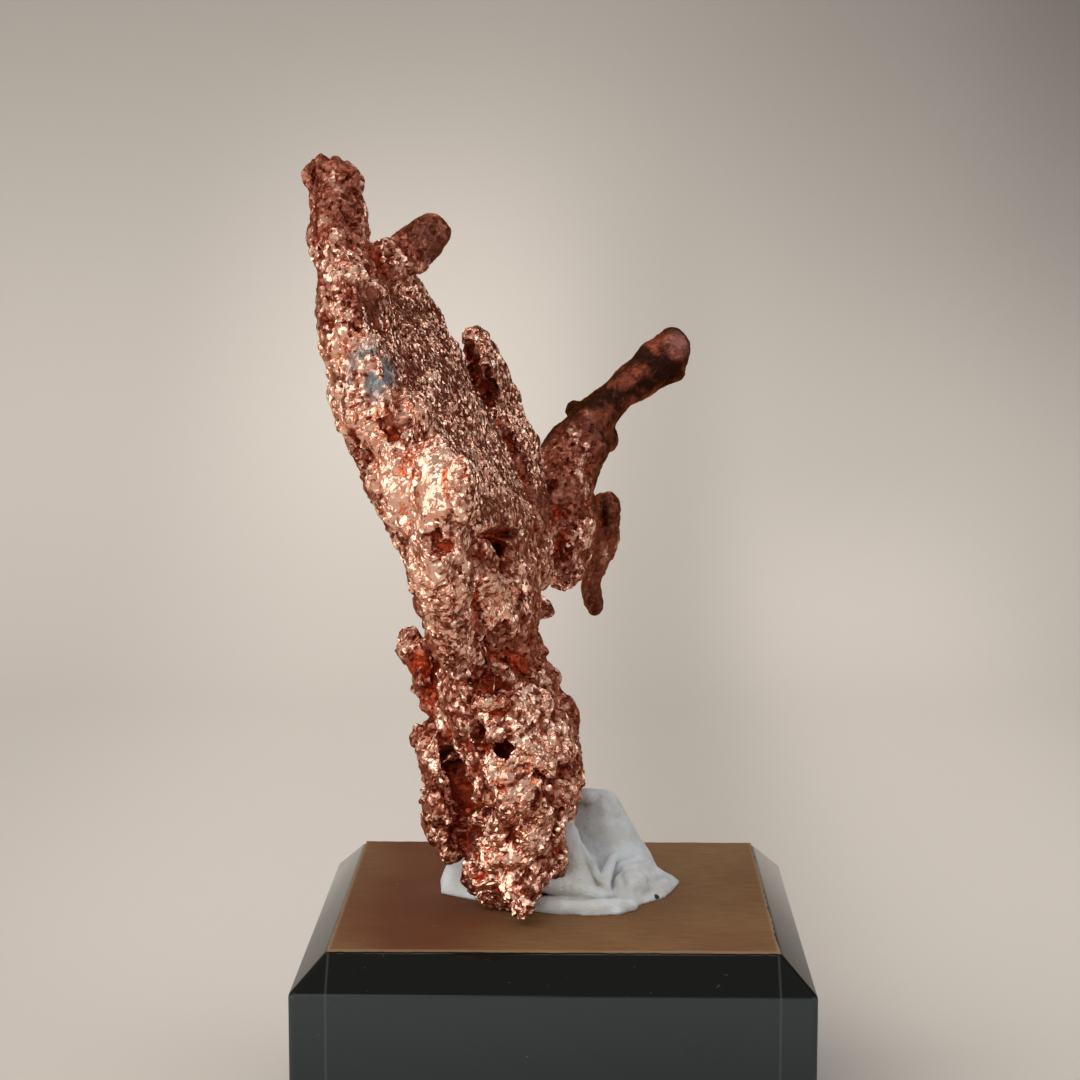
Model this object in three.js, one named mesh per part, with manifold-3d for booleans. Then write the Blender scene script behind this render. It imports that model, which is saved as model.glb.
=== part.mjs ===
// Native copper nugget, held upright by a wad of mounting putty on a small bevelled display block.
// Millimetres, +Z up, +Y to the back. The origin is the centre of the block's underside.
// The nugget is one grown piece of metal. It branches, so it is stored as two solids that part at
// its main fork: the trunk, and the branch that leans out to the back and right.
import * as THREE from "three";
import { ConvexGeometry } from "three/addons/geometries/ConvexGeometry.js";
import { mergeVertices } from "three/addons/utils/BufferGeometryUtils.js";
import Module from "manifold-3d";

const wasm = await Module();
wasm.setup();

// Driving dimensions
const BLOCK_WIDTH = 38; // a 1.5 inch display block
const BLOCK_HEIGHT = 19; // three quarters of an inch
const BEVEL = 2.5; // the 45 degree bevel around the top
const DECK_WIDTH = BLOCK_WIDTH - 2 * BEVEL; // the flat top, which the paper covers
const PAPER_THICKNESS = 0.15;
const DECK = BLOCK_HEIGHT + PAPER_THICKNESS; // the height that the nugget and putty stand at
const GAP = 0.3; // left between pieces that press against each other
const ROUGHNESS = 0.75; // how far the metal's surface wanders in and out

// A smooth wandering value between -1 and 1, the same at the same place in space.
function wander(x, y, z) {
  return (
    (Math.sin(1.3 * x + 0.8 * z + 0.3) * Math.cos(1.1 * y - 0.7 * z) +
      0.8 * Math.sin(2.2 * y + 1.5 * x - 0.8) * Math.sin(1.9 * z + 0.6 * y) +
      0.6 * Math.cos(2.9 * z - 2.3 * x) * Math.sin(2.5 * x + 2.1 * y)) /
    2.4
  );
}

// A closed geometry as a manifold-3d solid.
function solid(geometry) {
  const bare = geometry.clone();
  bare.deleteAttribute("normal");
  bare.deleteAttribute("uv");
  const merged = mergeVertices(bare, 1e-4);
  return new wasm.Manifold(
    new wasm.Mesh({
      numProp: 3,
      vertProperties: new Float32Array(merged.attributes.position.array),
      triVerts: new Uint32Array(merged.index.array),
    }),
  );
}

function geometryOf(made) {
  const mesh = made.getMesh();
  const points = new Float32Array(mesh.numVert * 3);
  for (let i = 0; i < mesh.numVert; i++) {
    points.set(mesh.vertProperties.subarray(i * mesh.numProp, i * mesh.numProp + 3), i * 3);
  }
  return new THREE.BufferGeometry()
    .setAttribute("position", new THREE.BufferAttribute(points, 3))
    .setIndex(new THREE.BufferAttribute(new Uint32Array(mesh.triVerts), 1));
}

// A rounded limb. Each station is [x, y, z, half width across, half width front to back, turn],
// the turn in degrees about the limb's own line. A ball's rings are carried along the curve
// through the stations, and its two poles round the ends off.
function limb(stations, { sides = 14, rings = 14, grow = 0, blunt = 8 } = {}) {
  const spine = new THREE.CatmullRomCurve3(stations.map(([x, y, z]) => new THREE.Vector3(x, y, z)));
  const girth = new THREE.CatmullRomCurve3(
    stations.map(([, , , across, deep, turn = 0]) => new THREE.Vector3(across, deep, turn)),
  );
  const ball = new THREE.SphereGeometry(1, sides, rings);
  const position = ball.getAttribute("position");
  const back = new THREE.Vector3(0, 1, 0);
  for (let i = 0; i < position.count; i++) {
    const ring = Math.floor(i / (sides + 1));
    const along = (1 - Math.cos((Math.PI * ring) / rings)) / 2;
    const angle = (2 * Math.PI * (i % (sides + 1))) / sides;
    const centre = spine.getPoint(along);
    const tangent = spine.getTangent(along);
    const deepward = back.clone().addScaledVector(tangent, -back.dot(tangent)).normalize();
    const acrossward = new THREE.Vector3().crossVectors(deepward, tangent);
    const { x: across, y: deep, z: turn } = girth.getPoint(along);
    deepward.applyAxisAngle(tangent, THREE.MathUtils.degToRad(turn));
    acrossward.applyAxisAngle(tangent, THREE.MathUtils.degToRad(turn));
    const round = Math.sqrt(Math.max(0, 1 - Math.abs(2 * along - 1) ** blunt));
    const point = centre
      .clone()
      .addScaledVector(acrossward, -across * round * Math.cos(angle))
      .addScaledVector(deepward, deep * round * Math.sin(angle));
    const outward = point.clone().sub(centre).normalize();
    const swell = ROUGHNESS * Math.min(1, across / 3) * wander(point.x, point.y, point.z) + grow;
    point.addScaledVector(outward, swell * round);
    if (ring === 0) point.addScaledVector(tangent, -grow);
    if (ring === rings) point.addScaledVector(tangent, grow);
    position.setXYZ(i, point.x, point.y, point.z);
  }
  return solid(ball);
}

// A rounded lump: [x, y, z, radius across, radius front to back, radius up, tilt to the right].
function lump([x, y, z, across, deep = across, up = across, tilt = 0], grow = 0) {
  const ball = new THREE.IcosahedronGeometry(1, 1);
  ball.scale(across + grow, deep + grow, up + grow);
  ball.rotateY(THREE.MathUtils.degToRad(tilt));
  ball.translate(x, y, z);
  return solid(ball);
}

function join(solids) {
  return solids.reduce((whole, next) => whole.add(next));
}

// Stations of the trunk's limbs, heights above the deck.
const BODY = [
  [-2.5, -8.7, 0.9, 1.4, 1.5],
  [-2.9, -6.5, 2.5, 3.2, 3.6],
  [-2.8, -4, 6, 4.6, 6],
  [-2.9, -3, 10.5, 5, 7],
  [-4, -2, 14.5, 5, 7],
  [-4.8, -1.8, 18.5, 4.4, 6.5],
  [-4.9, -2.5, 22, 3.7, 8, -6],
  [-5, -3.5, 26, 3.4, 9.5, -8],
  [-5.6, -4.5, 30, 3.2, 10.5, -8],
  [-7.4, -5, 34.5, 3, 10.5, -8],
  [-9.2, -5, 39, 2.7, 9.5, -8],
  [-11, -5, 43.5, 2.3, 7.5, -10],
  [-12.8, -5, 47.5, 1.6, 5, -14],
];
const FINGER = [
  [-16, -8, 57.2, 2, 2.8],
  [-16.2, -8.5, 54, 2.2, 3.2],
  [-15.6, -9, 50.5, 2.3, 4],
  [-14.7, -10, 47, 2.6, 4.5],
  [-13.9, -11, 43.5, 2.8, 5],
  [-12.5, -12, 39, 3.1, 5],
  [-10.5, -12, 33.5, 3, 5.5],
  [-8.9, -11, 29, 2.7, 5],
  [-7.6, -9, 24, 2.4, 4.5],
  [-6.6, -6, 19, 2, 3],
];
const RIDGE = [
  [-8.4, -16.5, 37.5, 1.9, 2.5],
  [-7.8, -18, 34.5, 2.2, 3],
  [-8, -18, 31, 2.1, 3.5],
  [-7.8, -16, 27.5, 2, 4],
  [-7.4, -13, 24, 1.8, 4],
  [-7, -9, 20, 1.6, 3.5],
];
const STUB = [
  [-14, -9.6, 46.5, 1.6, 2],
  [-11.7, -9, 49.3, 1.5, 1.5],
  [-10.2, -8, 50.7, 1.7, 1.5],
  [-8, -8, 52.5, 1.6, 1.4],
];
const BLADE = [
  [-12, 0, 49, 1.2, 1.6],
  [-11.2, 0.5, 46, 2, 2.5],
  [-9.8, 1, 42.5, 2.4, 3],
  [-8.2, 1, 38.6, 2.7, 3.5],
  [-6.3, 0.5, 33.5, 2.9, 4],
  [-4.5, 0, 27, 3.2, 4.5],
  [-3.8, 0, 19, 3.1, 5],
];
const MID_FINGER = [
  [-6.9, 5, 44.6, 1, 1.5],
  [-6.3, 5, 42.7, 1.4, 2],
  [-5.4, 5, 40, 1.6, 2.2],
  [-3.7, 5, 34.8, 2, 2.8],
  [-2.1, 3.5, 29, 2, 3],
  [-1.6, 2, 23.6, 1.4, 2.5],
];
const FLAP = [
  [-8, -3, 3.2, 1, 1.4],
  [-8.1, -2.6, 5.2, 1.8, 3.2],
  [-8.3, -2, 8, 2.3, 4.4],
  [-8.8, -1.5, 12, 1.9, 4],
  [-8.4, -0.5, 16, 1.6, 3],
];
const SPUR = [
  [-12, 2, 20.4, 0.8, 0.8],
  [-11, 2, 18.4, 1.1, 1.1],
  [-9.9, 1, 16.4, 1.4, 1.5],
  [-8.8, 0, 14.5, 1.5, 2],
];
// Nodules grown on the trunk, and the pits sunk into it.
const NODULES = [
  [-2.3, -9.5, 1.3, 1.1, 1.5, 1.1],
  [-5.1, -5, 2.4, 2.2, 2.6, 2.1],
  [1.1, -2, 11, 1.3, 2, 1.8],
  [-0.5, -2, 17.2, 1.3],
  [-1, -0.5, 15, 2.1],
  [-0.9, 1.2, 22.4, 0.9],
  [-10.2, -1.5, 12.7, 1.4],
  [-4.5, -9.2, 17, 1.5, 1.4, 1],
  [-17, -8.4, 55.7, 1.5, 1.8, 1.6],
  [-15.1, -8.8, 55.4, 1.4, 1.8, 1.6],
  [-12.3, -9.6, 50, 1.4],
  [-15, -12, 45, 1.6, 2, 2],
  [-13, -11, 33.5, 1.1, 2, 1.8],
  [-10.4, -15.2, 34, 2.1, 2.4, 4],
  [-10.6, -14.6, 38.4, 2.2, 2.4, 2.6],
  [-9.7, 1, 18.6, 1.1, 1.4, 2.2],
  [-3.9, 5.6, 38, 1.3, 1.4, 2],
  [-6.3, -21, 34, 1.3, 1.2, 2.6],
];
const PITS = [
  [-3.2, -11.2, 27.8, 1, 2, 2.4, 8],
  [-3.7, -10, 13.3, 0.9, 1.8],
  [-6, -9.4, 14.9, 0.6, 1.4, 0.8],
  [-7.2, -7.2, 9.6, 0.9, 3, 2.6, -16],
  [-6.4, -8, 4.4, 0.8, 2.4, 2.2, -14],
  [-7.9, -21.4, 30.2, 1.6, 1.6, 0.8],
  [-6.8, 3.6, 41.6, 0.7, 1.4, 1.8, -16],
  [-14.2, -15.6, 35.5, 1.6, 1.6, 0.7, -30],
];
const ARM = [
  [9.7, 14, 43.7, 1.6, 1.3],
  [8.8, 14, 41.6, 2.1, 1.7],
  [7.1, 14, 40, 1.8, 1.8],
  [5, 13, 38.5, 1.4, 1.4],
  [3, 12, 36.5, 1.8, 1.7],
  [1.8, 11, 34.5, 2.4, 2],
  [0.7, 9, 31.5, 2.6, 2.4],
  [-0.4, 7, 26.5, 1.9, 2.4],
];
const LOBE = [
  [3.4, 14.4, 30, 1, 1.3],
  [3.6, 15, 27.3, 1.7, 1.6],
  [3.4, 15, 24.8, 1.4, 1.4],
  [2.8, 15, 22.6, 0.9, 1],
  [3.1, 15, 19.7, 0.8, 0.8],
];
const WEBS = [
  [1.6, 11, 28, 2, 4.5, 3.8],
  [0.5, 8.6, 25.8, 1.7, 2.5, 3.2],
  [4, 12.4, 34.8, 1, 1.4, 1.2],
  [1.5, 13, 37, 0.9],
  [4.2, 14.2, 28.8, 1.1, 1.4, 1.6],
];

// The putty's folds, each the hull of a few points, and the deck that cuts them off flat.
const FOLDS = [
  // the cushion around the nugget's foot
  [
    [-9.1, 2.6, 0], [-8.9, -0.8, 0], [-5.5, -3.2, 0], [0, -4.5, 0], [5, -3, 0], [6, 5, 0], [-6, 6, 0],
    [-8.6, 0.2, 1.9], [-8.3, 3, 1.8], [-5, 4.6, 3.6], [-4, -2.5, 2], [2, 4.8, 4.6], [3, -2, 2],
  ],
  // the tall fold that leans on the nugget's right side
  [
    [1, 5.4, 0], [0.5, 0, 0], [5.6, -1, 0], [8.1, 0.6, 0], [8.6, 3.2, 0], [7, 5, 0],
    [0.5, 3.2, 7.2], [3.5, 2.2, 7.5], [4.5, 3.2, 7.3], [3.4, 4.4, 6.8],
  ],
  // the right wing, pressed down in front of it
  [[3, 1, 0], [3.5, -4.4, 0], [5.9, -4.9, 0], [8.5, -1.9, 0], [9.9, 2.9, 0], [6, -1, 2], [7.9, 1.8, 1.6]],
  // the tongue
  [
    [-1, -1.4, 5.4], [0.6, -1.4, 6], [1.5, -1, 5.2], [-1.5, 1, 2], [-0.5, -5, 0.6], [0.3, -5, 1.6],
    [4.2, -4.2, 1.2], [4.6, -3.6, 0.4], [2.6, -1.6, 3], [2, 1.5, 2],
  ],
  // the roll along the front
  [
    [-3.4, -4, 0], [-0.8, -5.8, 0], [2.3, -7.1, 0], [4.9, -6.8, 0], [6.4, -4.8, 0], [3, -3, 0],
    [-2, -4, 1], [0.6, -5.6, 1.1], [4.6, -5.6, 0.9],
  ],
];

function trunk(grow = 0) {
  const grown = join([
    limb(BODY, { sides: 26, rings: 34, grow }),
    limb(FINGER, { sides: 16, rings: 24, grow }),
    limb(RIDGE, { rings: 16, grow }),
    limb(STUB, { sides: 12, rings: 10, grow }),
    limb(BLADE, { sides: 16, rings: 20, grow }),
    limb(MID_FINGER, { sides: 12, rings: 16, grow }),
    limb(FLAP, { sides: 12, rings: 12, grow }),
    limb(SPUR, { sides: 10, rings: 10, grow }),
    ...NODULES.map((nodule) => lump(nodule, grow)),
  ]);
  return PITS.reduce((left, pit) => left.subtract(lump(pit, -grow)), grown);
}

function branch() {
  return join([
    limb(ARM, { rings: 22 }),
    limb(LOBE, { sides: 12, rings: 14 }),
    ...WEBS.map((web) => lump(web)),
  ]);
}

function putty() {
  return join(
    FOLDS.map((points) => solid(new ConvexGeometry(points.map((point) => new THREE.Vector3(...point))))),
  );
}

function block() {
  // Four lathe segments make a square, and the profile's slope its mitred bevel.
  const corner = Math.SQRT2 / 2;
  const profile = [
    [0, 0],
    [BLOCK_WIDTH * corner, 0],
    [BLOCK_WIDTH * corner, BLOCK_HEIGHT - BEVEL],
    [DECK_WIDTH * corner, BLOCK_HEIGHT],
    [0, BLOCK_HEIGHT],
  ].map(([radius, height]) => new THREE.Vector2(radius, height));
  return new THREE.LatheGeometry(profile, 4, Math.PI / 4).rotateX(Math.PI / 2);
}

function material(color, roughness, metalness) {
  return new THREE.MeshStandardMaterial({ color, roughness, metalness });
}

function piece(name, geometry, look) {
  const mesh = new THREE.Mesh(geometry, look);
  mesh.name = name;
  return mesh;
}

const copperLook = material(0xb87058, 0.4, 1);
const stand = new THREE.Group();
stand.add(piece("display_block", block(), material(0x101211, 0.1, 0)));

const sheet = new THREE.BoxGeometry(DECK_WIDTH, DECK_WIDTH, PAPER_THICKNESS);
sheet.translate(0, 0, BLOCK_HEIGHT + PAPER_THICKNESS / 2);
stand.add(piece("kraft_paper", sheet, material(0x8a6444, 0.85, 0)));

const specimen = new THREE.Group();
specimen.position.z = DECK;
specimen.add(piece("copper_trunk", geometryOf(trunk()), copperLook));
specimen.add(piece("putty", geometryOf(putty().subtract(trunk(GAP))), material(0xcfc9bd, 0.75, 0)));
specimen.add(piece("copper_branch", geometryOf(branch().subtract(trunk(GAP))), copperLook));
stand.add(specimen);

export default stand;
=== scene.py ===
# %% [markdown]
# # A native copper nugget on its display block
# The specimen is about 57 mm of branching copper. A wad of putty holds its foot on a black acrylic
# block, and the block's flat top still wears its brown masking paper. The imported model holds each
# piece at its true size and place. This lesson makes the surfaces that the eye sees.
# Everything is worked out in millimetres, because a grain of this metal is a fraction of one, and
# is turned into Blender's metres as it goes into a mesh.

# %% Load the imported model
import math
import bpy
import numpy as np
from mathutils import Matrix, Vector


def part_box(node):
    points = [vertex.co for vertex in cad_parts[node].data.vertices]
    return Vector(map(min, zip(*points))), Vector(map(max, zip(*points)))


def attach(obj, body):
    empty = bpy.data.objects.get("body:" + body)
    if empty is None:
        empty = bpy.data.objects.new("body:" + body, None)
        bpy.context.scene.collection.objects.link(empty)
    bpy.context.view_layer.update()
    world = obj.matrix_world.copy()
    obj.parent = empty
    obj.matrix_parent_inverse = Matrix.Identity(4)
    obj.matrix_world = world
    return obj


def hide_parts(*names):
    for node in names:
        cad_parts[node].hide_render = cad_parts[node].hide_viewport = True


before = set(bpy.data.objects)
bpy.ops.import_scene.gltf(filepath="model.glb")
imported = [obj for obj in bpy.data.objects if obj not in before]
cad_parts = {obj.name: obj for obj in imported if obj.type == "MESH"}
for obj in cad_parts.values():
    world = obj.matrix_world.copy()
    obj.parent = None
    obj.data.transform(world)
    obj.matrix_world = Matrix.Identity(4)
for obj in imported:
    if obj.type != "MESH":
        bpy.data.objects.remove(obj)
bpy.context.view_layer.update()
MM = 0.001
SKIN_VOXEL = 0.21
PUTTY_VOXEL = 0.13
node_box = {name: np.array(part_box(name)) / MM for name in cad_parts}
for name, (low, high) in node_box.items():
    print(name, "from", np.round(low, 1), "to", np.round(high, 1), "mm")

# %% [markdown]
# ## The camera
# It stands a hand's length in front of the block, a little below the height of the nugget's top, and
# looks slightly down. A long lens keeps the block's edges nearly parallel.

# %% Place the camera
CAMERA_X, CAMERA_Y, CAMERA_UP = 2.3, -193.7, 51.9
LOOK_DOWN, LOOK_LEFT = 7.05, 1.05

deck = node_box["kraft_paper"][1][2]
camera = bpy.data.objects.new("camera", bpy.data.cameras.new("camera"))
bpy.context.collection.objects.link(camera)
camera.location = np.array([CAMERA_X, CAMERA_Y, deck + CAMERA_UP]) * MM
camera.rotation_euler = (math.radians(90 - LOOK_DOWN), 0, math.radians(LOOK_LEFT))
camera.data.lens = 84
camera.data.sensor_width = 36
camera.data.clip_start = 0.01
bpy.context.scene.camera = camera
print("the camera is", round(camera.location.length, 3), "m from the block's foot")

# %% [markdown]
# ## Noise, worked out as whole arrays
# A grown metal is rough at every scale. Two kinds of noise give that. Smooth noise swells and sinks
# gently. Cell noise splits space into crystals, each with its own centre and its own tilt. Both
# start from numbers that are scrambled out of a cell's place, so every run gives the same nugget.

# %% Scrambled numbers for the cells of a lattice
def scrambled(cells, seed, count):
    """count numbers from 0 to 1 for each whole-numbered cell: its three coordinates and the seed are
    multiplied by large odd numbers and added, then folded on themselves by shifts."""
    whole = cells.astype(np.int64).astype(np.uint64)
    odd = np.array([0x9E3779B97F4A7C15, 0xC2B2AE3D27D4EB4F, 0x165667B19E3779F9], np.uint64)
    key = (whole * odd).sum(-1) + np.uint64(seed * 7919 + 1)
    numbers = []
    for _ in range(count):
        key = key ^ (key >> np.uint64(29))
        key = key * np.uint64(0xBF58476D1CE4E5B9)
        key = key ^ (key >> np.uint64(32))
        numbers.append((key >> np.uint64(40)).astype(float) / 2**24)
    return np.stack(numbers, -1)


def smooth_noise(points, size, seed):
    """Value noise from -1 to 1. Each corner of a lattice of that size has a random value, and a point
    takes the blend of its eight corners, eased by 3t^2 - 2t^3 along each axis."""
    base = np.floor(points / size)
    ease = points / size - base
    ease = ease * ease * (3 - 2 * ease)
    total = np.zeros(len(points))
    for corner in np.ndindex(2, 2, 2):
        share = np.prod(np.where(corner, ease, 1 - ease), axis=1)
        total += share * scrambled(base + corner, seed, 1)[:, 0]
    return 2 * total - 1


def crystal_cells(points, size, seed):
    """Cell noise: each lattice cell holds one crystal at a random place. Gives, for each point, how far
    off its own crystal's centre is (as a vector), how much further the next one is, and twelve
    random numbers of the crystal's own. Distances are in cell sizes."""
    base = np.floor(points / size)
    nearest = np.full(len(points), 9.0)
    second = np.full(len(points), 9.0)
    offset = np.zeros((len(points), 3))
    luck = np.zeros((len(points), 12))
    for corner in np.ndindex(3, 3, 3):
        cell = base + corner - 1
        numbers = scrambled(cell, seed, 15)
        away = points / size - cell - numbers[:, :3]
        distance = np.linalg.norm(away, axis=1)
        closer = distance < nearest
        second = np.where(closer, nearest, np.minimum(second, distance))
        nearest = np.where(closer, distance, nearest)
        offset[closer] = away[closer]
        luck[closer] = numbers[closer, 3:]
    return offset, second - nearest, luck


test = np.random.default_rng(1).uniform(0, 50, (1000, 3))
test = smooth_noise(test, 2, 1)
print("smooth noise goes from", test.min().round(2), "to", test.max().round(2))

# %% [markdown]
# ## Helpers for meshes
# A surface that is worked out on a grid becomes a mesh in one go: the points are one array, the
# faces another. Rings of points that follow each other close into a skin, capped at both ends.

# %% Turn arrays into a piece
def fill(mesh, points, faces):
    """Writes points and faces, an array with one row of point numbers for each face, into a mesh."""
    mesh.vertices.add(len(points))
    mesh.vertices.foreach_set("co", points.astype(np.float32).ravel())
    mesh.loops.add(faces.size)
    mesh.loops.foreach_set("vertex_index", faces.astype(np.int32).ravel())
    mesh.polygons.add(len(faces))
    mesh.polygons.foreach_set("loop_start", np.arange(len(faces), dtype=np.int32) * faces.shape[1])
    mesh.update(calc_edges=True)
    mesh.validate()


def add_piece(name, points, faces, smooth=True):
    """A new object at the origin, from points in millimetres, with its faces shaded smooth or flat."""
    piece = bpy.data.objects.new(name, bpy.data.meshes.new(name))
    fill(piece.data, points * MM, faces)
    piece.data.polygons.foreach_set("use_smooth", np.full(len(faces), smooth))
    bpy.context.collection.objects.link(piece)
    print(name, "has", len(points), "points and", len(faces), "faces")
    return piece


def loft(rings):
    """Closes rings of points, an array of (ring, step round it, xyz), into one skin: two triangles for
    each step between two rings, and a fan from each end ring to its own middle."""
    count, around = rings.shape[:2]
    points = np.vstack([rings.reshape(-1, 3), rings[0].mean(0), rings[-1].mean(0)])
    row, step = np.meshgrid(np.arange(count - 1), np.arange(around), indexing="ij")
    here = row * around + step
    beside = row * around + (step + 1) % around
    sides = np.stack([here, beside, beside + around, here, beside + around, here + around], -1)
    start = np.arange(around)
    turned = (start + 1) % around
    last = (count - 1) * around
    foot = np.stack([np.full(around, count * around), turned, start], -1)
    head = np.stack([np.full(around, count * around + 1), start + last, turned + last], -1)
    return points, np.vstack([sides.reshape(-1, 3), foot, head])


def ball(centre, radii):
    """An egg shape: rings of radius sin(v) at height -cos(v), stretched by its three radii."""
    v = np.linspace(0.12, math.pi - 0.12, 12)[:, None]
    u = np.linspace(0, 2 * math.pi, 18, endpoint=False)[None, :]
    unit = np.stack([np.sin(v) * np.cos(u), np.sin(v) * np.sin(u), -np.cos(v) + 0 * u], -1)
    return loft(unit * radii + centre)


print("a ball is lofted from", len(ball(np.zeros(3), 1.0)[1]), "triangles")

# %% [markdown]
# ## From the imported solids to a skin
# The copper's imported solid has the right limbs, but its facets are a millimetre wide. A copy of it
# is merged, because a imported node's triangles are loose, and then fused into an even skin of quads a
# fifth of a millimetre wide, fine enough to carry crystals. Sculpting by hand could do the same, but
# a rule for the whole surface is quicker and treats the hidden side as well as the front.

# %% Copy, fuse and smooth
def merged_copy(node):
    """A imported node's points, in millimetres, and triangles, with the corners that meet made one."""
    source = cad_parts[node].data
    place = np.empty(len(source.vertices) * 3)
    source.vertices.foreach_get("co", place)
    corner = np.empty(len(source.loops), int)
    source.loops.foreach_get("vertex_index", corner)
    points, which = np.unique(np.round(place.reshape(-1, 3) / MM, 4), axis=0, return_inverse=True)
    triangles = which.ravel()[corner].reshape(-1, 3)
    a, b, c = triangles.T
    return points, triangles[(a != b) & (b != c) & (c != a)]


def fused(shells, voxel):
    """One skin of even quads around closed shells that overlap, from Blender's voxel remesher."""
    starts = np.cumsum([0] + [len(points) for points, _ in shells])
    points = np.vstack([points for points, _ in shells])
    faces = np.vstack([faces + start for (_, faces), start in zip(shells, starts)])
    rough = bpy.data.objects.new("rough", bpy.data.meshes.new("rough"))
    fill(rough.data, points, faces)
    bpy.context.collection.objects.link(rough)
    remesh = rough.modifiers.new("fuse", "REMESH")
    remesh.mode = "VOXEL"
    remesh.voxel_size = voxel
    skin = rough.evaluated_get(bpy.context.evaluated_depsgraph_get()).to_mesh()
    place = np.empty(len(skin.vertices) * 3)
    skin.vertices.foreach_get("co", place)
    corner = np.empty(len(skin.loops), int)
    skin.loops.foreach_get("vertex_index", corner)
    bpy.data.objects.remove(rough)
    return place.reshape(-1, 3), corner.reshape(-1, 4)


def smoothed(points, faces, rounds, steps=(1.0,)):
    """Each step moves every point that share of the way to the mean of the points that it shares an
    edge with. A step back after each step on keeps thin limbs from shrinking."""
    ends = np.concatenate([faces.ravel(), np.roll(faces, -1, 1).ravel()])
    others = np.concatenate([np.roll(faces, -1, 1).ravel(), faces.ravel()])
    share = 1 / np.bincount(ends)
    for step in steps * rounds:
        mean = np.stack([np.bincount(ends, points[others, axis]) * share for axis in range(3)], -1)
        points = points + step * (mean - points)
    return points


def normals_of(points, faces):
    """Outward unit normals: the cross product of each quad's diagonals, summed at its corners."""
    a, b, c, d = (points[faces[:, corner]] for corner in range(4))
    across = np.cross(c - a, d - b)
    total = np.zeros((len(points), 3))
    for corner in range(4):
        for axis in range(3):
            total[:, axis] += np.bincount(faces[:, corner], across[:, axis], len(points))
    return total / np.maximum(np.linalg.norm(total, axis=1), 1e-12)[:, None]


def eased(value, low, high):
    """0 below low, 1 above high, and 3t^2 - 2t^3 between them."""
    t = np.clip((value - low) / (high - low), 0, 1)
    return t * t * (3 - 2 * t)


print("the packed trunk has", len(merged_copy("copper_trunk")[0]), "separate corners")

# %% [markdown]
# ## The nugget's own marks
# No two nuggets are alike. This one has holes, a crevice down its foot, a neck in shadow, which is
# also painted darker, a split in its flank, and places painted brighter or darker: some are rubbed
# bright, some get painted light where the lamps leave them in shade, and some get painted shade. Each
# is a mark with a place and a radius, and its strength fades to nothing at that radius. Cracks are
# trenches along a path. Heights are given above the deck, the top of the paper that the nugget
# stands on.

# %% Marks and trenches
def spots(points, marks):
    """The sum over the marks of strength times (1 - (r / radius)^2)^2, for distances r under the radius.
    A mark is (x, y, height above the deck, radius, strength)."""
    total = np.zeros(len(points))
    for x, y, up, radius, strength in marks:
        near = 1 - ((points - (x, y, deck + up)) ** 2).sum(1) / radius**2
        total += strength * np.clip(near, 0, 1) ** 2
    return total


def trench(points, width, depth, path):
    """depth times exp(-(d / width)^2), where d is the distance to the nearest piece of the path."""
    nearest = np.full(len(points), 99.0)
    path = np.array(path) + (0, 0, deck)
    for start, end in zip(path, path[1:]):
        run = end - start
        share = np.clip((points - start) @ run / (run @ run), 0, 1)
        nearest = np.minimum(nearest, np.linalg.norm(points - start - share[:, None] * run, axis=1))
    return depth * np.exp(-((nearest / width) ** 2))


holes = [
    (-5.9, -8.2, 14.4, 0.85, 1.8),
    (-3.7, -8.4, 13.1, 1.1, 1.0),
    (1.7, -5.0, 7.2, 2.8, 1.3),
    (-7.0, -9.5, 38.5, 0.8, 0.9),
    (-3.3, 2.4, 35.4, 1.3, 1.1),
    (-3.1, -9.2, 27.0, 1.1, 0.9),
    (-8.2, -21.4, 31.0, 1.5, 0.8),
    (-14.5, -15.2, 37.0, 1.4, 0.8),
    (-13.6, -13.8, 47.4, 1.3, 0.7),
    (-3.9, -10.0, 21.0, 2.4, 1.3),
    (-2.4, -7.4, 19.8, 2.0, 1.1),
    (-9.8, -0.8, 16.0, 2.0, 0.9),
    (-2.0, 9.0, 30.0, 2.0, 0.6),
    (-9.6, 2.5, 40.0, 1.8, 1.0),
    (-2.5, 7.0, 12.0, 2.2, 1.2),
    (-7.0, 3.0, 24.0, 2.0, 1.0),
]
crevice = [(-8.0, -5.2, 11.8), (-7.3, -4.8, 10.3), (-6.5, -5.6, 8.8), (-5.5, -8.3, 8.1)]
lower_crevice = [(-5.8, -8.1, 8.0), (-7.1, -5.8, 5.8), (-7.8, -5.4, 4.3), (-8.1, -4.5, 2.7)]
split = [(-4.0, -11.2, 29.4), (-3.7, -9.9, 28.4), (-3.3, -9.3, 27.4), (-2.9, -8.9, 26.2)]
split_top = [(-4.9, -13.2, 30.0), (-4.2, -11.7, 29.8), (-3.2, -8.5, 29.5), (-2.5, -6.0, 29.3)]
pocket = [(-6.9, 2.5, 42.4), (-6.5, 0.8, 41.8), (-6.1, 0.9, 40.2), (-5.6, 2.4, 38.9)]
ridge_side = [(-6.0, -15.8, 37.2), (-5.6, -15.6, 34.0), (-5.5, -14.6, 29.5), (-5.7, -12.8, 25.0)]


def carved(points):
    """How far the marks sink the surface, in millimetres."""
    sunk = spots(points, holes)
    sunk += trench(points, 0.6, 1.6, crevice) + trench(points, 0.6, 1.5, lower_crevice)
    sunk += trench(points, 0.65, 2.1, split) + trench(points, 0.35, 1.3, split_top)
    return sunk + trench(points, 0.8, 1.6, pocket) + trench(points, 1.1, 1.5, ridge_side)


print(len(holes), "holes and six cracks")

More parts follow.
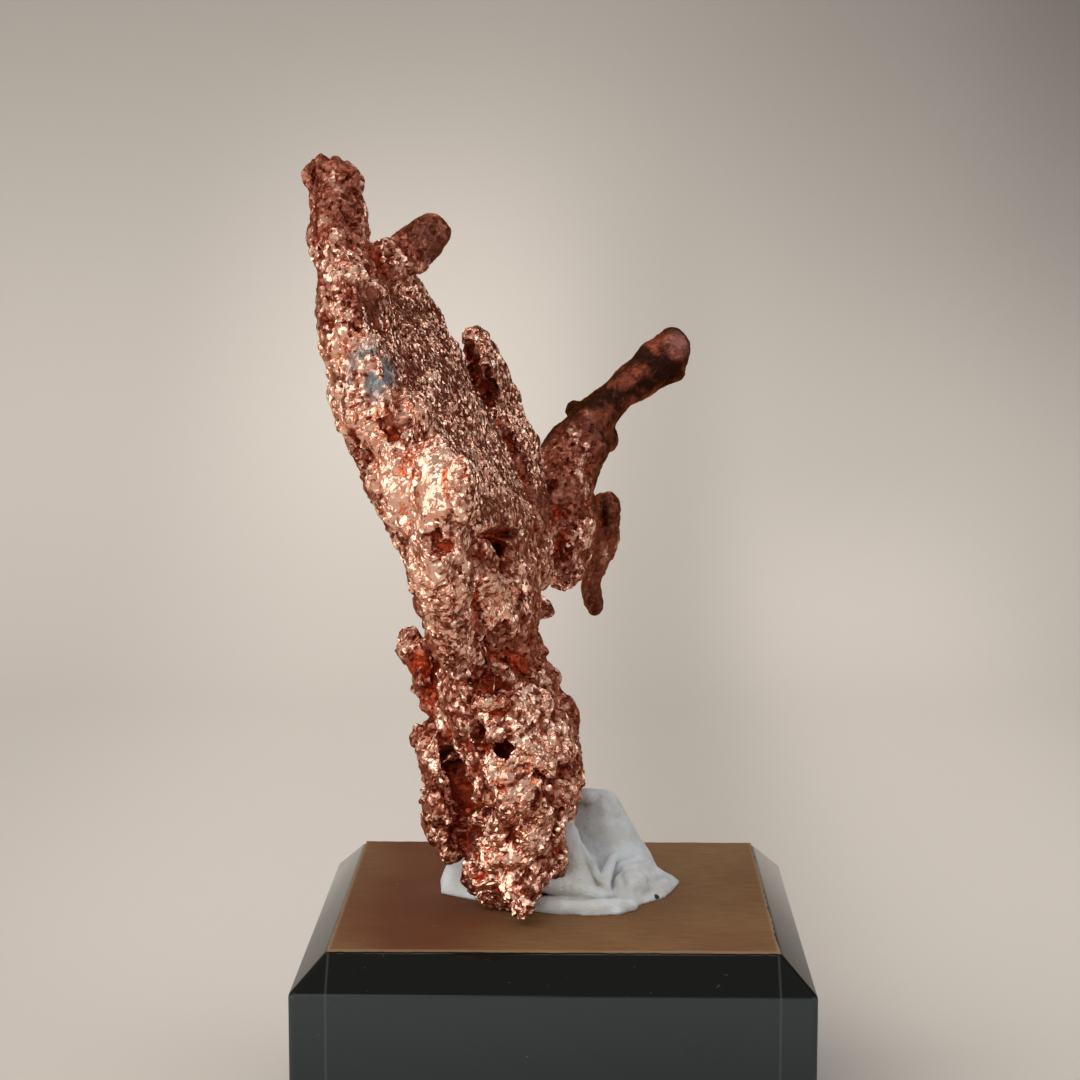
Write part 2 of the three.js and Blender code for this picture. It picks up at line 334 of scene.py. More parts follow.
# %% Plates and rubbed places
# Broad crystal faces, nearly flat and bright.
plates = [
    (-1.9, -7.6, 16.7, 2.0, 1.0),
    (-0.9, -8.3, 13.3, 1.6, 1.0),
    (-8.0, -21.0, 36.2, 2.8, 0.9),
    (-7.9, -21.0, 33.2, 2.8, 0.9),
    (-4.5, -9.5, 4.5, 1.4, 0.7),
    (-2.2, -9.6, 10.3, 1.3, 0.8),
    (-5.2, -10.3, 17.2, 1.3, 0.8),
    (-4.0, -8.3, 2.6, 1.2, 0.8),
    (-10.6, -17.6, 33.5, 2.2, 0.8),
    (-15.6, -13.0, 43.5, 2.0, 0.6),
    (-6.5, 4.5, 30.0, 2.4, 0.8),
    (-13.5, -4.0, 38.0, 2.6, 0.8),
]
# Places that are rubbed bright, and places that get painted light where the lamps leave them in
# shade. Those below 0 are darker: some have stayed dark, and others, such as the ridge's right side
# and the neck, get painted shade.
rubbed_and_painted_light = [
    (-8.4, -20.5, 35.0, 5.0, 0.5),
    (-10.8, -17.4, 34.0, 3.6, 0.5),
    (-8.4, -20.3, 30.2, 2.4, 0.35),
    (-5.3, -13.9, 26.7, 2.0, 0.35),
    (-5.2, -10.3, 17.2, 2.0, 0.4),
    (-1.0, -9.2, 12.5, 3.0, 0.35),
    (-4.1, -9.4, 11.0, 1.6, 0.35),
    (-8.6, -5.3, 12.2, 1.6, 0.3),
    (-13.2, -14.4, 46.2, 3.0, -0.6),
    (-3.6, -9.8, 28.6, 2.2, -0.2),
    (-4.6, -10.6, 27.6, 1.8, 0.4),
    (-1.1, -2.6, 22.0, 4.0, -0.5),
    (-0.8, -9.0, 12.0, 2.0, 0.25),
    (-7.0, -19.8, 29.8, 1.8, 0.35),
    (-10.8, -17.3, 32.4, 3.6, 0.55),
    (-10.2, -18.6, 30.0, 2.6, 0.4),
    (-4.6, -9.3, 23.6, 3.0, 0.2),
    (-7.4, -15.5, 26.0, 3.0, 0.35),
    (-12.3, -16.7, 34.2, 2.6, 0.25),
    (-6.5, -18.8, 27.0, 2.6, 0.35),
    (-4.7, -12.5, 25.0, 3.0, 0.35),
    (-15.1, -15.4, 44.0, 3.6, 0.55),
    (-12.6, -16.9, 36.0, 2.6, 0.35),
    (-4.1, -8.7, 7.8, 2.4, 0.3),
    (-5.7, -6.7, 1.4, 2.6, 0.25),
    (-8.8, -19.0, 26.5, 5.0, 0.25),
    (-5.9, -17.5, 36.0, 2.6, -0.5),
    (-5.6, -17.0, 32.5, 2.6, -0.5),
    (-5.5, -16.0, 29.0, 2.6, -0.4),
    (-14.0, -15.5, 40.0, 6.0, 0.3),
    (-3.3, -10.1, 24.7, 3.6, 0.55),
    (-5.5, -10.7, 34.4, 3.0, 0.2),
    (-6.5, -7.0, 37.0, 9.0, 0.1),
    (-1.0, -9.5, 15.0, 5.0, 0.32),
    (-2.5, -9.5, 6.0, 5.0, 0.3),
    (-4.9, -7.9, 3.2, 4.2, 0.65),
    (0.8, -2.0, 16.0, 4.5, -0.25),
    (-3.9, -10.0, 21.0, 3.2, -0.25),
    (-1.8, -6.6, 19.9, 3.0, -0.3),
    (-11.0, -6.0, 43.0, 7.0, -0.15),
    (-9.5, -8.0, 51.2, 3.6, -0.4),
    (-16.0, -8.5, 56.5, 7.0, -0.6),
    (-15.4, -11.3, 51.5, 5.0, -0.3),
    (-9.8, -0.7, 16.2, 2.6, -0.4),
    (-6.3, 1.0, 40.5, 2.4, -0.5),
    (-0.9, 2.4, 30.8, 5.0, -0.35),
    (1.8, 8.0, 30.5, 6.0, -0.4),
    (3.4, 15.0, 26.0, 6.0, 0.3),
]
print(len(plates), "plates and", len(rubbed_and_painted_light), "rubbed or dark places")

# %% Red places
# Sheltered places where the oxide is thick and shows red, and those below 0 that have none.
rusty = [
    (-11.3, 0.8, 17.8, 2.6, 0.3),
    (-10.6, 0.2, 15.0, 2.2, 0.35),
    (-9.8, -2.5, 13.6, 1.6, 0.3),
    (-6.8, -5.1, 9.8, 2.6, 0.35),
    (-5.7, -7.5, 7.6, 1.6, 0.2),
    (-3.7, -8.4, 13.1, 1.4, 0.35),
    (-5.9, -8.2, 14.4, 1.1, 0.4),
    (-4.1, -9.1, 19.7, 2.6, 0.2),
    (-1.9, -6.4, 19.9, 2.4, 0.2),
    (-3.5, -9.8, 29.3, 3.0, 0.35),
    (-3.0, -9.1, 27.2, 2.4, 0.3),
    (-6.5, 1.6, 41.4, 3.4, 0.35),
    (-0.2, 9.0, 34.5, 3.5, 0.15),
    (0.2, 7.2, 31.5, 3.5, 0.15),
    (-14.4, -15.2, 37.2, 1.6, 0.35),
    (-2.9, -10.3, 1.6, 1.5, 0.3),
    (-16.6, -12.0, 52.0, 2.5, 0.12),
    (-9.7, -16.6, 35.0, 2.6, -0.5),
    (-9.5, -16.4, 32.0, 2.4, -0.4),
    (-7.0, 4.0, 24.0, 3.0, 0.25),
    (-2.5, 7.5, 12.0, 3.0, 0.25),
    (-9.5, 3.0, 40.0, 3.0, 0.25),
]
print(len(rusty), "red places")

# %% [markdown]
# ## The copper's crystals
# Native copper grows as a crowd of small blunt crystals, from a fraction of a millimetre to several
# millimetres across, each size growing on the last. The height of the surface is a sum of gentle
# swells, three sizes of crystal, pits and the marks. A crystal is a random wedge of flat faces: its
# height falls with the largest of three slopes, each along a random direction of its own, so it
# flashes as flat faces do. Here and there a broad face, a plate, is nearly flat. The thin flank has
# a fine grain that is drawn out along it, and the limbs at the back are worn nearly smooth.

# %% The height of the metal's surface
def crystals(points, size, seed, peak, tilt, seam):
    """The height in millimetres that crystals of one size add: peak times a half less the largest
    slope along three random directions, plus a tilt of the whole crystal, less seam where two meet."""
    offset, margin, luck = crystal_cells(points, size, seed)
    directions = luck[:, :9].reshape(-1, 3, 3) - 0.5
    directions /= np.linalg.norm(directions, axis=2, keepdims=True)
    slopes = np.abs((directions * offset[:, None, :]).sum(2)).max(1)
    lean = ((luck[:, 9:] - 0.5) * offset).sum(1)
    return peak * (0.5 - 1.5 * slopes) + tilt * lean - seam * np.exp(-((margin / 0.14) ** 2))


def patches(points, size, seed, chance, reach):
    """Round patches in the cells whose luck is below chance: (1 - (r / reach)^2)^2, with r and reach
    in cell sizes."""
    offset, _, luck = crystal_cells(points, size, seed)
    return np.clip(1 - (offset**2).sum(1) / reach**2, 0, 1) ** 2 * (luck[:, 0] < chance)


def flatness(points):
    """1 on the broad plates, marked or scattered, and 0 away from them."""
    scattered = patches(points, size=2.7, seed=42, chance=0.4, reach=0.5)
    return np.clip(1.8 * spots(points, plates) + 1.8 * scattered, 0, 1)


def calmness(points):
    """1 on the arm at the back and on the stub by the top, where the metal is worn smooth."""
    stub = spots(points, [(-9.0, -8.0, 51.6, 3.6, 1.6)])
    return np.clip(np.maximum(eased(points[:, 1], 8, 11), stub), 0, 1)


def flankness(points, normals):
    """1 on the thin right side of the plate, which faces along +X above the neck."""
    height = points[:, 2] - deck
    within = eased(height, 27, 34) * eased(height, 50, 46) * eased(points[:, 1], 9, 6)
    return eased(normals[:, 0], 0.15, 0.6) * within


def metal_height(points, normals):
    """How far the grown metal stands out from its smooth limbs, in millimetres: swells, plus three sizes
    of crystal and pits, which are weaker where it is calm, flat or part of the flank, plus the
    flank's own grain, less the marks."""
    warp = np.stack([smooth_noise(points, 1.7, seed) for seed in (11, 12, 13)], -1)
    bent = points + 0.5 * warp
    calm = calmness(points)
    flank = flankness(points, normals)
    lower = eased(points[:, 2], deck + 24, deck + 16)
    coarse = eased(smooth_noise(points, 5, 14) + 0.5 * smooth_noise(points, 2.2, 15), -0.5, 0.5)
    swell = 0.3 * smooth_noise(points, 3.6, 21) + 0.2 * smooth_noise(points, 1.9, 22)
    great = crystals(points + 0.9 * warp, size=3.4, seed=30, peak=0.6, tilt=0.8, seam=0.12)
    large = crystals(bent, size=1.6, seed=31, peak=0.34, tilt=0.55, seam=0.04)
    small = crystals(bent, size=0.85, seed=32, peak=0.2, tilt=0.42, seam=0.03)
    sizes = great * (0.3 + 0.7 * lower) + large * (0.35 + 0.65 * coarse) + small * (1.1 - 0.5 * coarse)
    pits = -0.8 * patches(bent, size=2.4, seed=41, chance=0.22, reach=0.32)
    # The flank's grain leans 19 degrees and is 2.5 times as long as it is wide.
    grain = bent @ np.array([[1, 0, 0.34], [0, 1, 0], [-0.34, 0, 1]]).T
    striae = crystals(grain * [1, 1, 0.4], size=0.5, seed=33, peak=0.14, tilt=0.3, seam=0.06)
    busy = (1 - 0.7 * calm) * (1 - 0.7 * flank) * (1 - 0.75 * flatness(points))
    grown = swell * (1 - 0.5 * calm) + busy * (sizes + pits) + flank * striae
    return grown - carved(points)


first_plate = np.array([plates[0][:3]]) + (0, 0, deck)
print("in the middle of the first plate the flatness is", flatness(first_plate)[0])

# %% Build the copper skins
def copper_skin(name, node, extra):
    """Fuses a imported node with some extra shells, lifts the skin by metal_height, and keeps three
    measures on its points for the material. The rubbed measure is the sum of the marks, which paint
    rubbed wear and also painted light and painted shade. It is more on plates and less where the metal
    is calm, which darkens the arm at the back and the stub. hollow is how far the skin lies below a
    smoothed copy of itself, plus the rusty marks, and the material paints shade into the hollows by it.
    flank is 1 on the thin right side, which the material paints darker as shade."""
    points, faces = fused([merged_copy(node)] + extra, SKIN_VOXEL)
    points = smoothed(points, faces, rounds=8, steps=(0.6, -0.62))
    normals = normals_of(points, faces)
    # The marks paint wear and also painted light and painted shade; calm places are painted darker.
    wear_and_painted_light = spots(points, rubbed_and_painted_light) + 0.3 * flatness(points) - 0.6 * calmness(points) - 0.06
    measures = {"rubbed_and_painted_light": wear_and_painted_light, "flank": flankness(points, normals)}
    points = points + normals * metal_height(points, normals)[:, None]
    # A jitter of 15 thousandths of a millimetre keeps the flat faces from looking machined.
    points += np.random.default_rng(5).uniform(-0.015, 0.015, points.shape)
    normals = normals_of(points, faces)
    sunk = ((smoothed(points, faces, rounds=24) - points) * normals).sum(1)
    measures["hollow"] = sunk + spots(points, rusty)
    piece = add_piece(name, points, faces, smooth=False)
    for measure, values in measures.items():
        kept = piece.data.attributes.new(measure, "FLOAT", "POINT")
        kept.data.foreach_set("value", values.astype(np.float32))
        print(measure, "from", values.min().round(2), "to", values.max().round(2))
    return piece


# The branch has a hidden root, which closes the gap at the fork.
trunk = copper_skin("native_copper_trunk", "copper_trunk", [])
root = ball(np.array([-2.2, 6.5, deck + 28]), (2.4, 2.6, 3.4))
branch = copper_skin("native_copper_branch", "copper_branch", [root])

# %% [markdown]
# ## Helpers for materials
# A material is a small tree of nodes. One helper adds a node, sets its options and fills its
# sockets: a socket given a number or colour keeps it, and one given another socket is linked to it.
# The others are short names for the nodes that are used over and over.

# %% Add nodes
def wired(tree, made, values):
    """Fills the sockets of a node, given by name or number, and gives back its outputs."""
    for socket, value in values.items():
        if isinstance(value, bpy.types.NodeSocket):
            tree.links.new(value, made.inputs[socket])
        else:
            made.inputs[socket].default_value = value
    return made.outputs


def node(tree, kind, inputs=None, **options):
    """Adds a shader node with its options, fills its inputs and gives back its outputs."""
    made = tree.nodes.new("ShaderNode" + kind)
    for option, value in options.items():
        setattr(made, option, value)
    return wired(tree, made, inputs or {})


def maths(tree, operation, *values):
    """A Math node's result: the operation is DIVIDE, MAXIMUM and so on."""
    return node(tree, "Math", dict(enumerate(values)), operation=operation)[0]


def times(tree, first, second):
    """Two values multiplied."""
    return maths(tree, "MULTIPLY", first, second)


def plus(tree, first, second):
    """Two values added."""
    return maths(tree, "ADD", first, second)


def less(tree, first, second):
    """The first value less the second."""
    return maths(tree, "SUBTRACT", first, second)


def away_from(tree, value, centre):
    """How far a value is from a centre, never below 0."""
    return maths(tree, "ABSOLUTE", less(tree, value, centre))


def distance_to(tree, place, point):
    """How far a place is from a point."""
    return node(tree, "VectorMath", {0: place, 1: point}, operation="DISTANCE")["Value"]


def ranged(tree, value, low, high, start=0.0, end=1.0):
    """value taken smoothly from the range low to high into start to end, and held at its ends."""
    made = {"Value": value, "From Min": low, "From Max": high, "To Min": start, "To Max": end}
    return node(tree, "MapRange", made, interpolation_type="SMOOTHSTEP")["Result"]


def noise(tree, place, scale, detail=5.0, roughness=0.5):
    """Blender's cloudy noise, from 0 to 1, with scale swells to the millimetre."""
    settings = {"Vector": place, "Scale": scale, "Detail": detail, "Roughness": roughness}
    return node(tree, "TexNoise", settings)[0]


def attribute(tree, name):
    """The measure that a skin's points keep under a name."""
    return node(tree, "Attribute", attribute_name=name)["Fac"]


def mixed(tree, share, first, second):
    """first where share is 0, second where it is 1, for colours."""
    made = tree.nodes.new("ShaderNodeMix")
    made.data_type = "RGBA"
    return wired(tree, made, {0: share, 6: first, 7: second})[2]


def bumped(tree, shader, height, strength, depth):
    """Tilts a material's shading as if its surface rose by height times depth, in millimetres."""
    made = {"Height": height, "Strength": strength, "Distance": depth * MM}
    tree.links.new(node(tree, "Bump", made)["Normal"], shader["Normal"])

# %% [markdown]
# An effect that more than one material uses is a group: a tree of its own with named inputs and
# outputs, built once and placed in each material with other values. The materials work in
# millimetres too, so their trees start by scaling the Object coordinates.

# %% Make groups and materials
def new_group(name, inputs, outputs):
    """An empty node group, with its sockets made by interface.new_socket. Gives the group, and the
    sockets to read inside it. inputs maps a name to its first value, outputs a name to its kind."""
    group = bpy.data.node_groups.new(name, "ShaderNodeTree")
    for title, value in inputs.items():
        kind = "NodeSocketFloat" if isinstance(value, float) else "NodeSocketVector"
        group.interface.new_socket(title, in_out="INPUT", socket_type=kind).default_value = value
    for title, kind in outputs.items():
        group.interface.new_socket(title, in_out="OUTPUT", socket_type="NodeSocket" + kind)
    return group, group.nodes.new("NodeGroupInput").outputs


def grouped(tree, group, inputs):
    """Places a group in a material's tree with its own values."""
    made = tree.nodes.new("ShaderNodeGroup")
    made.node_tree = group
    return wired(tree, made, inputs)


def new_material(name):
    """A material with a Principled BSDF. Gives the material, its tree, the shader's inputs and the
    place in millimetres."""
    material = bpy.data.materials.new(name)
    material.use_nodes = True
    tree = material.node_tree
    place = node(tree, "TexCoord")["Object"]
    place = node(tree, "VectorMath", {0: place, "Scale": 1 / MM}, operation="SCALE")["Vector"]
    return material, tree, tree.nodes["Principled BSDF"].inputs, place

# %% [markdown]
# ## Facets too small to model
# The finest crystals are about a fifth of a millimetre across. The group below tilts each cell of a
# Voronoi pattern its own way: the height is the dot product of a random direction with the place
# inside the cell. A Bump node then turns each cell into a flat facet that catches the light alone.
# The group also puts out a random tone for each cell. A second group, mottle, gives cloudy patches:
# noise cut off softly at an edge, and the lower the edge, the more of the surface they cover.

# %% The facets group
asked = {"Place": (0.0, 0.0, 0.0), "Size": 0.3, "Tilt": 1.0}
facets, inside = new_group("crystal_facets", asked, {"Height": "Float", "Tone": "Float"})
scale = maths(facets, "DIVIDE", 1.0, inside["Size"])
spot = node(facets, "VectorMath", {0: inside["Place"], "Scale": scale}, operation="SCALE")["Vector"]
cell = node(facets, "TexVoronoi", {"Vector": spot, "Scale": 1.0})
offset = node(facets, "VectorMath", {0: spot, 1: cell["Position"]}, operation="SUBTRACT")["Vector"]
lean = node(facets, "VectorMath", {0: cell["Color"], 1: (0.5, 0.5, 0.5)}, operation="SUBTRACT")["Vector"]
height = node(facets, "VectorMath", {0: offset, 1: lean}, operation="DOT_PRODUCT")["Value"]
height = times(facets, times(facets, height, inside["Tilt"]), inside["Size"])
tone = node(facets, "SeparateColor", {"Color": cell["Color"]})["Green"]
facets_end = facets.nodes.new("NodeGroupOutput").inputs
facets.links.new(height, facets_end["Height"])
facets.links.new(tone, facets_end["Tone"])
print(facets.name, "puts out a height and a tone with", len(facets.nodes), "nodes")

# %% The mottle group
asked = {"Place": (0.0, 0.0, 0.0), "Size": 3.0, "Amount": 0.5}
mottle, inside = new_group("mottle", asked, {"Mask": "Float"})
scale = maths(mottle, "DIVIDE", 1.0, inside["Size"])
cloud = noise(mottle, inside["Place"], scale, roughness=0.6)
edge = less(mottle, 0.78, times(mottle, inside["Amount"], 0.56))
mask = ranged(mottle, cloud, less(mottle, edge, 0.08), plus(mottle, edge, 0.08))
mottle.links.new(mask, mottle.nodes.new("NodeGroupOutput").inputs["Mask"])
print(mottle.name, "puts out a mask with", len(mottle.nodes), "nodes")

# %% [markdown]
# ## The copper's finish
# Fresh copper is a pale pink metal. Air turns it brown and then nearly black, first where nothing
# rubs it, so a crystal's face is either bright and smooth or brown and dull, and the nugget glitters.
# Whether a face is bright is a vote. The luck of its small and of its larger crystal counts, and so
# do a cloudy pattern, the marks of rubbed wear and of painted light and shade, how far it stands out,
# which paints the hollows duller as shade, and, on the flank, the luck of its drawn out grain.

# %% Vote for the bright faces
copper, tree, shader, place = new_material("native_copper")
axis = node(tree, "SeparateXYZ", {0: place})
hollow = attribute(tree, "hollow")
rub_and_painted_light = attribute(tree, "rubbed_and_painted_light")
flank = attribute(tree, "flank")
streaks = {"Vector": place, "Rotation": (0, 0.33, 0), "Scale": (1.2, 1.2, 0.6)}
streaks = node(tree, "Mapping", streaks)["Vector"]
fine = grouped(tree, facets, {"Place": place, "Size": 0.36, "Tilt": 1.0})
middling = grouped(tree, facets, {"Place": place, "Size": 1.1, "Tilt": 0.6})
drawn = grouped(tree, facets, {"Place": streaks, "Size": 0.22, "Tilt": 1.0})
cloud = noise(tree, place, 0.3)
vote = times(tree, middling["Tone"], 0.42)
vote = plus(tree, vote, times(tree, fine["Tone"], 0.38))
# Hollows vote duller than crests: painted shade in the hollows.
vote = plus(tree, vote, ranged(tree, hollow, 0.14, -0.14, -0.3, 0.06))
vote = plus(tree, vote, ranged(tree, cloud, 0.3, 0.7, 0.06, 0.5))
# The marks add wear, painted light and painted shade to the vote.
vote = plus(tree, vote, rub_and_painted_light)
vote = plus(tree, vote, times(tree, flank, ranged(tree, drawn["Tone"], 0.1, 0.9, -0.42, 0.45)))
bright = ranged(tree, vote, 0.43, 0.93)
print("the vote is counted by", len(tree.nodes), "nodes")

# %% [markdown]
# The colour is built up in layers. Bright and dull faces come first, each from a darker to a paler
# tone, and the dull faces are painted darker as shade on the flank and where the marks are strongly
# negative. The arm at the back is redder and sooty, partly tarnish and partly painted shade, and its
# tip gets a painted highlight. In its hollows copper turns to a red oxide, which is less of a metal,
# and deep down the hollows are painted nearly black as shade. A bloom of blue grey sits on the plate.

# %% Colour the copper
PALE_COPPER, PINK_COPPER = (0.98, 0.65, 0.5, 1), (0.87, 0.41, 0.28, 1)
BROWN, DARK_BROWN = (0.48, 0.175, 0.115, 1), (0.22, 0.05, 0.026, 1)
FLANK_SHADE_BROWN, SHELTERED_AND_SHADED_BROWN = (0.2, 0.06, 0.034, 1), (0.15, 0.05, 0.034, 1)
ARM_RED_SHADE, SOOT_AND_SHADE, TIP_HIGHLIGHT_PINK = (0.2, 0.045, 0.024, 1), (0.03, 0.011, 0.007, 1), (0.42, 0.17, 0.13, 1)
OXIDE, DARK_OXIDE = (0.6, 0.085, 0.024, 1), (0.13, 0.017, 0.007, 1)
DULL_OXIDE, DEEP_HOLLOW_SHADE = (0.3, 0.05, 0.02, 1), (0.13, 0.014, 0.005, 1)
BLUE_BLOOM = (0.2, 0.23, 0.25, 1)
ARM_TIP = (9.9, 12.9, deck + 42.6)
BLOOM_PLACE = (-12.8, -16.5, deck + 42.0)

fresh = mixed(tree, fine["Tone"], PINK_COPPER, PALE_COPPER)
dull = mixed(tree, fine["Tone"], DARK_BROWN, BROWN)
# The flank faces away from the lamps, so its dull faces are painted darker as shade.
dull = mixed(tree, flank, dull, FLANK_SHADE_BROWN)
# Where the marks are strongly negative the dull faces are painted darker still: painted shade on the
# ridge's right side and the neck, and metal that stayed dark.
dull = mixed(tree, ranged(tree, rub_and_painted_light, -0.25, -1.0, 0.0, 0.75), dull, SHELTERED_AND_SHADED_BROWN)
colour = mixed(tree, bright, dull, fresh)
# The arm at the back is painted redder and, in patches, nearly black: partly tarnish, partly painted shade,
# as it lies in shade at the back.
soot_and_shade_mask = grouped(tree, mottle, {"Place": place, "Size": 2.4, "Amount": 0.62})["Mask"]
upward = ranged(tree, axis["Z"], deck + 29.0, deck + 36.0, 0.45, 1.0)
upper_arm_shade = times(tree, ranged(tree, axis["Y"], 8.0, 11.0), upward)
colour = mixed(tree, times(tree, upper_arm_shade, 0.8), colour, ARM_RED_SHADE)
colour = mixed(tree, times(tree, soot_and_shade_mask, upper_arm_shade), colour, SOOT_AND_SHADE)
# A painted pink highlight at the arm's upper tip.
from_tip_highlight = distance_to(tree, place, ARM_TIP)
colour = mixed(tree, ranged(tree, from_tip_highlight, 1.6, 0.3, 0.0, 0.7), colour, TIP_HIGHLIGHT_PINK)
oxide = mixed(tree, middling["Tone"], OXIDE, DARK_OXIDE)
oxide = mixed(tree, ranged(tree, fine["Tone"], 0.5, 1.0, 0.0, 0.7), oxide, DULL_OXIDE)
colour = mixed(tree, ranged(tree, hollow, 0.07, 0.3), colour, oxide)
# Painted shade: the deepest hollows are painted nearly black.
colour = mixed(tree, ranged(tree, hollow, 0.5, 1.0), colour, DEEP_HOLLOW_SHADE)
bloom = ranged(tree, distance_to(tree, place, BLOOM_PLACE), 3.2, 0.8)
bloom = times(tree, bloom, ranged(tree, noise(tree, place, 0.6), 0.42, 0.55))
colour = mixed(tree, bloom, colour, BLUE_BLOOM)
tree.links.new(colour, shader["Base Color"])
print("with its colour the copper has", len(tree.nodes), "nodes")

# %% [markdown]
# Oxide and bloom are only partly metallic, and dull faces are rougher than bright ones. The small and
# the larger facets add up to a height in millimetres, and on the flank those of its drawn out grain
# take their place. It is softened on the worn arm and where the marks of rubbed wear and painted
# light are strong.

# %% Set the copper's metal, roughness and facets
mineral = ranged(tree, hollow, 0.15, 0.5, 1.0, 0.55)
tree.links.new(times(tree, ranged(tree, bloom, 0.0, 1.0, 1.0, 0.3), mineral), shader["Metallic"])
rough = ranged(tree, bright, 0.0, 1.0, 0.46, 0.2)
rough = maths(tree, "MAXIMUM", rough, ranged(tree, hollow, 0.1, 0.4, 0.2, 0.55))
tree.links.new(rough, shader["Roughness"])
shader["Specular Tint"].default_value = (0.95, 0.58, 0.42, 1)
soften = less(tree, 1.0, times(tree, ranged(tree, axis["Y"], 7.0, 11.0), 0.7))
soften = times(tree, soften, ranged(tree, rub_and_painted_light, 0.25, 0.8, 1.0, 0.4))
plain = plus(tree, fine["Height"], middling["Height"])
height = plus(tree, plain, times(tree, flank, less(tree, drawn["Height"], plain)))
height = times(tree, height, soften)
bumped(tree, shader, height, strength=1.0, depth=1.0)
print(copper.name, "has", len(tree.nodes), "nodes")
for piece, packed in ((trunk, "copper_trunk"), (branch, "copper_branch")):
    piece.data.materials.append(copper)
    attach(piece, "root")
    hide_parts(packed)

# %% [markdown]
# ## The putty
# The wad was folded by hand and pressed round the nugget's foot: a tall sheet leans on the metal, a
# tongue laps over it, and the hem is rolled under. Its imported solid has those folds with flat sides.
# Sheets of clay, each a flattened tube along a path, and thin rolls are fused with it, which rounds
# the rims, and creases are pressed in where one sheet lies on the next. It stays flat where it sits
# on the paper.

# %% Sheets of clay
def clay_sheet(stations, sides=20):
    """A flattened tube. A station is x, y, height above the deck, half width, half thickness, and the
    turn of its width about the vertical, in degrees. Each section is the ellipse
    centre + width * cos(a) * (cos turn, sin turn, 0) + thickness * sin(a) * across it."""
    x, y, up, width, thick, turn = np.array(stations, float).T[:, :, None]
    angle = np.linspace(0, 2 * math.pi, sides, endpoint=False)[None, :]
    wide = width * np.cos(angle)
    deep = thick * np.sin(angle)
    turn = np.radians(turn)
    ring_x = x + wide * np.cos(turn) - deep * np.sin(turn)
    ring_y = y + wide * np.sin(turn) + deep * np.cos(turn)
    return loft(np.stack([ring_x, ring_y, deck + up + 0 * ring_x], -1))


def clay_roll(stations):
    """A rounded roll: balls, squashed to 0.8 of their radius in height, close together along a path
    of stations. A station is x, y, height above the deck, and radius."""
    stations = np.array(stations, float)
    steps = np.linspace(0, len(stations) - 1, 8 * len(stations))
    between = np.stack([np.interp(steps, np.arange(len(stations)), column) for column in stations.T], -1)
    return [ball(np.array([x, y, deck + up]), (r, r, 0.8 * r)) for x, y, up, r in between]


sheets = [
    clay_sheet([
        (4.6, 1.6, 0.1, 3.4, 1.3, -8), (4.1, 1.7, 2.0, 3.0, 1.1, -8), (3.6, 2.0, 4.0, 2.3, 0.8, -10),
        (3.2, 2.4, 5.8, 1.8, 0.6, -12), (3.0, 2.7, 7.1, 1.5, 0.45, -14), (3.0, 2.7, 7.6, 1.1, 0.25, -14),
    ]),
    clay_sheet([
        (1.9, -4.4, 0.6, 1.6, 0.6, -8), (1.6, -4.3, 1.8, 1.4, 0.55, -8), (1.1, -3.9, 3.4, 1.1, 0.5, -5),
        (0.95, -3.6, 4.8, 0.95, 0.45, 0), (0.95, -3.4, 5.7, 0.8, 0.4, 0), (0.95, -3.3, 6.3, 0.5, 0.3, 0),
    ]),
    clay_sheet([
        (6.9, -0.6, 0.1, 2.6, 1.5, 42), (6.7, -0.2, 1.2, 2.1, 1.1, 42), (6.3, 0.3, 2.2, 1.3, 0.6, 42),
    ]),
    ball(np.array([5.9, -1.7, deck + 1.0]), (1.4, 1.6, 1.0)),
    ball(np.array([2.3, 2.1, deck + 7.1]), (0.8, 0.5, 0.4)),
]
rolls = [
    [(-0.9, -5.0, 2.2, 0.9), (1.0, -5.0, 1.8, 0.8), (2.7, -5.0, 1.25, 0.6), (4.2, -4.8, 0.95, 0.35)],
    [(-1.6, -5.2, 0.4, 0.6), (0.8, -6.1, 0.45, 0.7), (3.2, -6.3, 0.45, 0.65), (5.8, -5.2, 0.3, 0.45)],
    [(3.7, -3.3, 0.9, 0.45), (4.0, -1.7, 2.0, 0.4), (4.5, -0.2, 2.8, 0.35), (5.7, 0.9, 2.8, 0.35)],
]
for stations in rolls:
    sheets += clay_roll(stations)

# A crease is a width, a depth and a path.
creases = [
    (0.4, 1.0, [(2.0, -2.4, 6.4), (2.3, -2.7, 4.6), (2.7, -3.1, 3.2), (3.4, -3.6, 1.8)]),
    (0.22, 0.5, [
        (-1.2, -5.9, 1.25), (0.6, -6.0, 1.1), (2.0, -5.9, 0.95), (3.4, -5.7, 0.8), (4.5, -5.2, 0.8),
    ]),
    (0.3, 0.4, [(5.3, -4.1, 0.8), (5.3, -3.2, 1.5), (5.0, -2.0, 2.0), (5.0, -0.8, 2.6)]),
    (0.25, 0.25, [(6.2, -3.0, 1.0), (7.4, -1.6, 1.3), (8.6, 0.4, 1.0)]),
]
# Places where grit and rust are caught in the clay, in the crease by the tongue, under its lip and at
# the hook, which are also painted browner as shade in the crease and under the lip: x, y, height
# above the deck, radius, strength.
soiled_and_shaded = [
    (1.1, -4.0, 3.2, 1.3, 0.8),
    (2.2, -3.6, 3.0, 1.2, 0.8),
    (3.1, -3.9, 1.7, 1.1, 0.9),
    (0.8, -5.4, 1.6, 1.6, 0.4),
    (2.1, 2.0, 6.9, 0.9, 0.9),
]
# Two small holes poked into the hem.
poked = [(8.0, -2.5, 0.45, 0.3, 0.4), (5.5, -4.9, 0.5, 0.25, 0.4)]
print(len(rolls), "rolls,", len(creases), "creases and", len(soiled_and_shaded), "soiled places")

